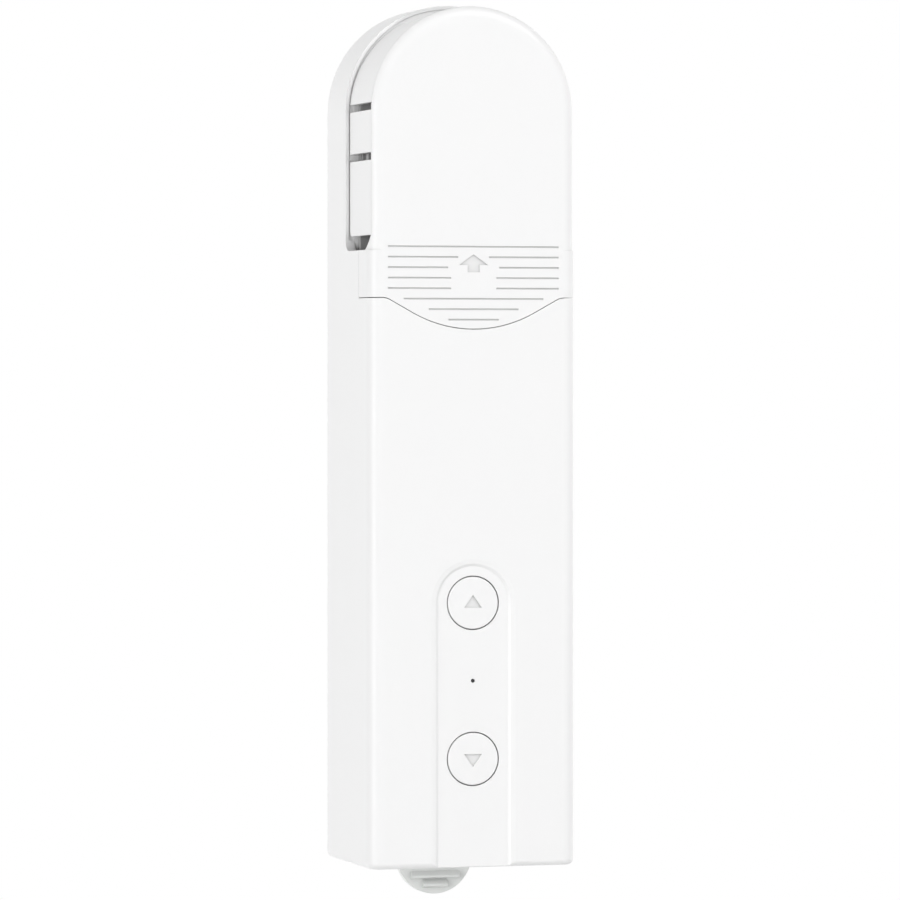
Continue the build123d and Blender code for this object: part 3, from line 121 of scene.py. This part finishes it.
def makeFloor():
    mesh = bpy.data.meshes.new("studioFloor")
    half = studio["floorSize"] / 2
    height = studio["floorHeight"]
    corners = [(-half, -half, height), (half, -half, height), (half, half, height), (-half, half, height)]
    mesh.from_pydata(corners, [], [(0, 1, 2, 3)])
    floor = bpy.data.objects.new("studioFloor", mesh)
    bpy.context.scene.collection.objects.link(floor)
    material = bpy.data.materials.new("floorPaper")
    material.use_nodes = True
    tree = material.node_tree
    tree.nodes.clear()
    paper = tree.nodes.new("ShaderNodeBsdfDiffuse")
    paper.inputs["Color"].default_value = studio["floorColour"]
    white = tree.nodes.new("ShaderNodeEmission")
    mix = tree.nodes.new("ShaderNodeMixShader")
    out = tree.nodes.new("ShaderNodeOutputMaterial")
    tree.links.new(seenDirectly(tree), mix.inputs[0])
    tree.links.new(paper.outputs[0], mix.inputs[1])
    tree.links.new(white.outputs[0], mix.inputs[2])
    tree.links.new(mix.outputs[0], out.inputs["Surface"])
    mesh.materials.append(material)


makeWorld()
makeFloor()
for lampName, lamp in lamps.items():
    makeLamp(lampName, lamp)
bpy.context.scene.view_settings.view_transform = "Standard"
print("studio lit")


# shared effects, in metres and waves per metre
effects = {
    "coarseGrain": 0.3,       # coarse grain's waves, as a share of the fine grain's
    "coarseHeight": 0.5,
    "drift": 60.0,
    "edgeGain": 3.0,
    "paintedShadeReach": 0.0012,
    "markDepth": 0.00005,     # what lies deeper than this is cut in
    "lineStretch": 0.02,
    "metalPatch": 900.0,
}


def newGroup(name, inputs, outputs):
    group = bpy.data.node_groups.new(name, "ShaderNodeTree")
    for socketName, value in inputs.items():
        socket = group.interface.new_socket(name=socketName, in_out="INPUT", socket_type="NodeSocketFloat")
        socket.default_value = value
    for socketName, kind in outputs.items():
        group.interface.new_socket(name=socketName, in_out="OUTPUT", socket_type=kind)
    enter = group.nodes.new("NodeGroupInput")
    leave = group.nodes.new("NodeGroupOutput")
    return group, enter, leave


def addMath(tree, operation, first, second, clamp=False):
    node = tree.nodes.new("ShaderNodeMath")
    node.operation = operation
    node.use_clamp = clamp
    for slot, value in enumerate((first, second)):
        if isinstance(value, (int, float)):
            node.inputs[slot].default_value = value
        else:
            tree.links.new(value, node.inputs[slot])
    return node.outputs[0]


def addNoise(tree, place, scale, detail, roughness=0.5):
    node = tree.nodes.new("ShaderNodeTexNoise")
    node.inputs["Detail"].default_value = detail
    node.inputs["Roughness"].default_value = roughness
    if isinstance(scale, (int, float)):
        node.inputs["Scale"].default_value = scale
    else:
        tree.links.new(scale, node.inputs["Scale"])
    tree.links.new(place, node.inputs["Vector"])
    return node.outputs["Fac"]


def makeMouldGrain():
    # spark-eroded mould texture, with slow drifts of tone from the flow of the plastic
    group, enter, leave = newGroup(
        "mouldGrain",
        {"Grain per metre": 9000.0, "Drift per metre": effects["drift"]},
        {"Height": "NodeSocketFloat", "Drift": "NodeSocketFloat"},
    )
    place = group.nodes.new("ShaderNodeTexCoord").outputs["Object"]
    grain = addNoise(group, place, enter.outputs["Grain per metre"], 2.0, 0.6)
    coarseScale = addMath(group, "MULTIPLY", enter.outputs["Grain per metre"], effects["coarseGrain"])
    coarse = addNoise(group, place, coarseScale, 1.0)
    both = addMath(group, "ADD", grain, addMath(group, "MULTIPLY", coarse, effects["coarseHeight"]))
    drift = addNoise(group, place, enter.outputs["Drift per metre"], 3.0)
    group.links.new(both, leave.inputs["Height"])
    group.links.new(drift, leave.inputs["Drift"])
    return group


def makeSoftEdge():
    # rounds the shading of sharp edges and says where they are, for a painted edge highlight
    group, enter, leave = newGroup(
        "softEdge",
        {"Radius": 0.00012},
        {"Normal": "NodeSocketVector", "Edge": "NodeSocketFloat"},
    )
    bevel = group.nodes.new("ShaderNodeBevel")
    bevel.samples = 4
    group.links.new(enter.outputs["Radius"], bevel.inputs["Radius"])
    geometry = group.nodes.new("ShaderNodeNewGeometry")
    dot = group.nodes.new("ShaderNodeVectorMath")
    dot.operation = "DOT_PRODUCT"
    group.links.new(bevel.outputs[0], dot.inputs[0])
    group.links.new(geometry.outputs["Normal"], dot.inputs[1])
    turned = addMath(group, "SUBTRACT", 1.0, dot.outputs["Value"])
    edge = addMath(group, "MULTIPLY", turned, effects["edgeGain"], clamp=True)
    group.links.new(bevel.outputs[0], leave.inputs["Normal"])
    group.links.new(edge, leave.inputs["Edge"])
    return group


def makePaintedCreaseShade():
    # painted shade: 0 on open surfaces, up to 1 deep in gaps and inner corners, where the colour is
    # darkened to stand in for shade
    group, enter, leave = newGroup(
        "paintedCreaseShade",
        {"Reach": effects["paintedShadeReach"]},
        {"Depth": "NodeSocketFloat"},
    )
    shade = group.nodes.new("ShaderNodeAmbientOcclusion")
    shade.samples = 8
    group.links.new(enter.outputs["Reach"], shade.inputs["Distance"])
    closed = addMath(group, "SUBTRACT", 1.0, shade.outputs["AO"], clamp=True)
    group.links.new(closed, leave.inputs["Depth"])
    return group


def makeSunkMark():
    # 1 on what is cut into a flat front, inside a width and below a height
    group, enter, leave = newGroup(
        "sunkMark",
        {"Front": -0.032, "Half width": 0.0176, "Top": 0.04},
        {"Mask": "NodeSocketFloat"},
    )
    place = group.nodes.new("ShaderNodeSeparateXYZ")
    source = group.nodes.new("ShaderNodeTexCoord")
    group.links.new(source.outputs["Object"], place.inputs[0])
    below = addMath(group, "SUBTRACT", place.outputs["Y"], enter.outputs["Front"])
    deep = addMath(group, "GREATER_THAN", below, effects["markDepth"])
    across = addMath(group, "ABSOLUTE", place.outputs["X"], 0.0)
    inside = addMath(group, "LESS_THAN", across, enter.outputs["Half width"])
    low = addMath(group, "LESS_THAN", place.outputs["Z"], enter.outputs["Top"])
    both = addMath(group, "MULTIPLY", deep, inside)
    group.links.new(addMath(group, "MULTIPLY", both, low), leave.inputs["Mask"])
    return group


def makeDrawLines():
    # fine lines left by drawing, turning or rolling metal
    group, enter, leave = newGroup(
        "drawLines",
        {"Lines per metre": 5000.0, "Stretch": effects["lineStretch"]},
        {"Height": "NodeSocketFloat", "Patch": "NodeSocketFloat"},
    )
    place = group.nodes.new("ShaderNodeTexCoord").outputs["Object"]
    squeeze = group.nodes.new("ShaderNodeCombineXYZ")
    squeeze.inputs["X"].default_value = 1.0
    squeeze.inputs["Z"].default_value = 1.0
    group.links.new(enter.outputs["Stretch"], squeeze.inputs["Y"])
    stretched = group.nodes.new("ShaderNodeVectorMath")
    stretched.operation = "MULTIPLY"
    group.links.new(place, stretched.inputs[0])
    group.links.new(squeeze.outputs[0], stretched.inputs[1])
    lines = addNoise(group, stretched.outputs[0], enter.outputs["Lines per metre"], 2.0)
    patch = addNoise(group, place, effects["metalPatch"], 3.0)
    group.links.new(lines, leave.inputs["Height"])
    group.links.new(patch, leave.inputs["Patch"])
    return group


mouldGrain = makeMouldGrain()
softEdge = makeSoftEdge()
paintedCreaseShade = makePaintedCreaseShade()
sunkMark = makeSunkMark()
drawLines = makeDrawLines()


def placeGroup(tree, group, **values):
    # sets inputs by name, with an underscore for each space
    node = tree.nodes.new("ShaderNodeGroup")
    node.node_tree = group
    for socketName, value in values.items():
        node.inputs[socketName.replace("_", " ")].default_value = value
    return node


def mixColours(tree, factor, first, second):
    node = tree.nodes.new("ShaderNodeMix")
    node.data_type = "RGBA"
    tree.links.new(factor, node.inputs["Factor"])
    for socketName, value in (("A", first), ("B", second)):
        socket = next(s for s in node.inputs if s.name == socketName and s.type == "RGBA")
        if isinstance(value, tuple):
            socket.default_value = value
        else:
            tree.links.new(value, socket)
    return next(s for s in node.outputs if s.type == "RGBA")


def spread(tree, value, low, high):
    node = tree.nodes.new("ShaderNodeMapRange")
    node.inputs["To Min"].default_value = low
    node.inputs["To Max"].default_value = high
    tree.links.new(value, node.inputs["Value"])
    return node.outputs["Result"]


def scaled(colour, factor):
    # a colour made darker or lighter, with its fourth value
    return tuple(min(1.0, part * factor) for part in colour[:3]) + (1.0,)


def finishMaterial(tree, height, depth, normal, shader):
    # bump of a real depth over the rounded edges
    bump = tree.nodes.new("ShaderNodeBump")
    bump.inputs["Distance"].default_value = depth
    bump.inputs["Strength"].default_value = 1.0
    tree.links.new(height, bump.inputs["Height"])
    if normal is not None:
        tree.links.new(normal, bump.inputs["Normal"])
    tree.links.new(bump.outputs[0], shader.inputs["Normal"])


def startMaterial(name):
    material = bpy.data.materials.new(name)
    material.use_nodes = True
    tree = material.node_tree
    shader = next(node for node in tree.nodes if node.type == "BSDF_PRINCIPLED")
    return material, tree, shader


# moulded plastics: rough is a range, drift and the tones (painted edge highlight, painted crease shade,
# marks) are shares of the colour, grain is in waves per metre, depth of the grain and radius of the edge
# in metres
plastics = {
    "shellWhite": {
        "colour": (0.90, 0.90, 0.90), "rough": (0.34, 0.42), "grain": 9000, "depth": 0.0000012,
        "drift": 0.004, "edge": 0.00012, "paintedEdgeHighlight": 1.01, "paintedShadeTone": 0.76,
    },
    # painted shade: the inner parts' grey is darkened to stand in for the shade seen into the head through
    # its slots and gaps
    "innerShadeGrey": {
        "colour": (0.42, 0.42, 0.42), "rough": (0.42, 0.52), "grain": 6000, "depth": 0.000003,
        "drift": 0.02, "edge": 0.0001, "paintedEdgeHighlight": 1.04, "paintedShadeTone": 0.6,
    },
    "backWhite": {
        "colour": (0.84, 0.84, 0.84), "rough": (0.42, 0.52), "grain": 6000, "depth": 0.000003,
        "drift": 0.01, "edge": 0.0001, "paintedEdgeHighlight": 1.02, "paintedShadeTone": 0.6,
    },
    "tabGrey": {
        "colour": (0.80, 0.815, 0.80), "rough": (0.34, 0.44), "grain": 7000, "depth": 0.000002,
        "drift": 0.012, "edge": 0.00015, "paintedEdgeHighlight": 1.05, "paintedShadeTone": 0.6,
    },
    "sprocketDark": {
        "colour": (0.035, 0.036, 0.038), "rough": (0.38, 0.50), "grain": 6000, "depth": 0.000003,
        "drift": 0.06, "edge": 0.00012, "paintedEdgeHighlight": 1.5, "paintedShadeTone": 0.6,
    },
    "gearCream": {
        "colour": (0.80, 0.77, 0.66), "rough": (0.30, 0.40), "grain": 7000, "depth": 0.000002,
        "drift": 0.02, "edge": 0.00005, "paintedEdgeHighlight": 1.06, "paintedShadeTone": 0.6,
    },
    "blackPlastic": {
        "colour": (0.018, 0.018, 0.02), "rough": (0.35, 0.5), "grain": 8000, "depth": 0.000002,
        "drift": 0.05, "edge": 0.00006, "paintedEdgeHighlight": 1.6, "paintedShadeTone": 0.6,
    },
    "connectorWhite": {
        "colour": (0.78, 0.76, 0.70), "rough": (0.36, 0.46), "grain": 8000, "depth": 0.000002,
        "drift": 0.02, "edge": 0.00005, "paintedEdgeHighlight": 1.04, "paintedShadeTone": 0.6,
    },
}

# cover and caps are the same white, darker in what is cut into their fronts, with a stronger painted shade
# in their creases
plastics["coverWhite"] = {
    **plastics["shellWhite"],
    "paintedShadeTone": 0.64,
    "markTone": 0.91,
    "mark": {"Front": -0.032, "Half_width": 0.0176, "Top": 0.04},
}
plastics["capWhite"] = {
    **plastics["shellWhite"],
    "paintedShadeTone": 0.68,
    "markTone": 0.89,
    "mark": {"Front": -0.03155, "Half_width": 0.006, "Top": 0.04},
}


def makePlastic(name, kind):
    material, tree, shader = startMaterial(name)
    grain = placeGroup(tree, mouldGrain, Grain_per_metre=kind["grain"], Drift_per_metre=effects["drift"])
    edge = placeGroup(tree, softEdge, Radius=kind["edge"])
    plain = kind["colour"]
    darker = scaled(plain, 1 - kind["drift"])
    lighter = scaled(plain, 1 + kind["drift"])
    body = mixColours(tree, grain.outputs["Drift"], darker, lighter)
    # painted highlight: edges are lightened by the edge mask
    tone = mixColours(tree, edge.outputs["Edge"], body, scaled(plain, kind["paintedEdgeHighlight"]))
    shadeInCreases = placeGroup(tree, paintedCreaseShade, Reach=effects["paintedShadeReach"])
    if "mark" in kind:
        mark = placeGroup(tree, sunkMark, **kind["mark"])
        tone = mixColours(tree, mark.outputs["Mask"], tone, scaled(plain, kind["markTone"]))
    # painted shade: the colour is darkened in gaps and inner corners
    shaded = mixColours(tree, shadeInCreases.outputs["Depth"], tone, scaled(plain, kind["paintedShadeTone"]))
    tree.links.new(shaded, shader.inputs["Base Color"])
    tree.links.new(spread(tree, grain.outputs["Drift"], *kind["rough"]), shader.inputs["Roughness"])
    finishMaterial(tree, grain.outputs["Height"], kind["depth"], edge.outputs["Normal"], shader)
    return material


# metals, whose patches and painted edge highlights are shares of the colour
metals = {
    "zincSteel": {
        "colour": (0.60, 0.61, 0.63), "rough": (0.24, 0.40), "lines": 5000, "depth": 0.000002,
        "patch": (0.90, 1.08), "edge": 0.00006, "paintedEdgeHighlight": 1.25,
    },
    "sinteredBronze": {
        "colour": (0.58, 0.36, 0.17), "rough": (0.34, 0.48), "lines": 3000, "depth": 0.000003,
        "patch": (0.90, 1.08), "edge": 0.00006, "paintedEdgeHighlight": 1.25,
    },
}


def makeMetal(name, kind):
    material, tree, shader = startMaterial(name)
    lines = placeGroup(tree, drawLines, Lines_per_metre=kind["lines"], Stretch=effects["lineStretch"])
    edge = placeGroup(tree, softEdge, Radius=kind["edge"])
    plain = kind["colour"]
    darker, lighter = (scaled(plain, factor) for factor in kind["patch"])
    body = mixColours(tree, lines.outputs["Patch"], darker, lighter)
    # painted highlight: edges are lightened by the edge mask
    tone = mixColours(tree, edge.outputs["Edge"], body, scaled(plain, kind["paintedEdgeHighlight"]))
    tree.links.new(tone, shader.inputs["Base Color"])
    shader.inputs["Metallic"].default_value = 1.0
    tree.links.new(spread(tree, lines.outputs["Patch"], *kind["rough"]), shader.inputs["Roughness"])
    finishMaterial(tree, lines.outputs["Height"], kind["depth"], edge.outputs["Normal"], shader)
    return material


# circuit board, with copper tracks as lighter lines in the lacquer
board = {
    "bricksPerMetre": 900,
    "trackWidth": 0.03,
    "lacquer": ((0.010, 0.085, 0.038, 1), (0.012, 0.105, 0.046, 1)),
    "track": (0.020, 0.160, 0.070, 1),
    "weavePerMetre": 2500.0,
    "rough": (0.22, 0.34),
    "depth": 0.000004,
}


def makeBoardGreen():
    material, tree, shader = startMaterial("boardGreen")
    place = tree.nodes.new("ShaderNodeTexCoord").outputs["Object"]
    tracks = tree.nodes.new("ShaderNodeTexBrick")
    tracks.inputs["Scale"].default_value = board["bricksPerMetre"]
    tracks.inputs["Mortar Size"].default_value = board["trackWidth"]
    tracks.inputs["Color1"].default_value, tracks.inputs["Color2"].default_value = board["lacquer"]
    tracks.inputs["Mortar"].default_value = board["track"]
    upright = tree.nodes.new("ShaderNodeMapping")
    upright.inputs["Rotation"].default_value = (math.radians(90), 0, 0)
    tree.links.new(place, upright.inputs["Vector"])
    tree.links.new(upright.outputs[0], tracks.inputs["Vector"])
    tree.links.new(tracks.outputs["Color"], shader.inputs["Base Color"])
    weave = addNoise(tree, place, board["weavePerMetre"], 2.0)
    tree.links.new(spread(tree, weave, *board["rough"]), shader.inputs["Roughness"])
    finishMaterial(tree, weave, board["depth"], None, shader)
    return material


# soft plastics in two close tones: the cells' sleeve and the leads
sleeves = {
    "cellSleeve": {
        "tones": ((0.025, 0.13, 0.30, 1), (0.035, 0.17, 0.36, 1)),
        "rough": (0.18, 0.28), "grain": 1500.0, "drift": 200.0, "depth": 0.00001,
    },
    "leadRed": {
        "tones": ((0.33, 0.012, 0.010, 1), (0.42, 0.018, 0.014, 1)),
        "rough": (0.35, 0.5), "grain": 4000.0, "drift": 400.0, "depth": 0.000004,
    },
}


def makeSleeve(name, kind):
    material, tree, shader = startMaterial(name)
    grain = placeGroup(tree, mouldGrain, Grain_per_metre=kind["grain"], Drift_per_metre=kind["drift"])
    tone = mixColours(tree, grain.outputs["Drift"], *kind["tones"])
    tree.links.new(tone, shader.inputs["Base Color"])
    tree.links.new(spread(tree, grain.outputs["Drift"], *kind["rough"]), shader.inputs["Roughness"])
    finishMaterial(tree, grain.outputs["Height"], kind["depth"], None, shader)
    return material


finishes = {name: makePlastic(name, kind) for name, kind in plastics.items()}
finishes.update({name: makeMetal(name, kind) for name, kind in metals.items()})
finishes["boardGreen"] = makeBoardGreen()
finishes.update({name: makeSleeve(name, kind) for name, kind in sleeves.items()})
print("materials made:", len(finishes))


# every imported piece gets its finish
dressing = {
    "shellWhite": ("body_shell",),
    "coverWhite": ("chain_cover",),
    "capWhite": ("up_button_cap", "down_button_cap"),
    "backWhite": ("back_cover", "wall_bracket"),
    "innerShadeGrey": ("chain_guide", "gear_frame", "gearbox_lid", "battery_tray"),
    "tabGrey": ("release_tab",),
    "sprocketDark": ("bead_sprocket",),
    "gearCream": ("output_gear", "third_gear", "second_gear", "first_gear"),
    "zincSteel": (
        "back_cover_screws", "guide_screws", "gearbox_screws", "board_screws", "motor_screws",
        "gear_axles", "sprocket_shaft", "sprocket_clip", "motor_shaft", "motor_can", "tab_pin",
        "tab_spring", "charging_socket", "radio_module", "battery_contacts",
    ),
    "sinteredBronze": ("front_bearing", "rear_bearing", "motor_pinion"),
    "boardGreen": ("main_board",),
    "blackPlastic": (
        "switch_bodies", "up_switch_plunger", "down_switch_plunger", "motor_end_cap", "indicator_pin",
    ),
    "cellSleeve": ("battery_cells",),
    "connectorWhite": ("lead_connector", "indicator_diode"),
    "leadRed": ("motor_leads",),
}
for finish, members in dressing.items():
    for member in members:
        for slot in nodes[member].material_slots:
            slot.material = finishes[finish]
print("packed pieces dressed:", sum(len(members) for members in dressing.values()))
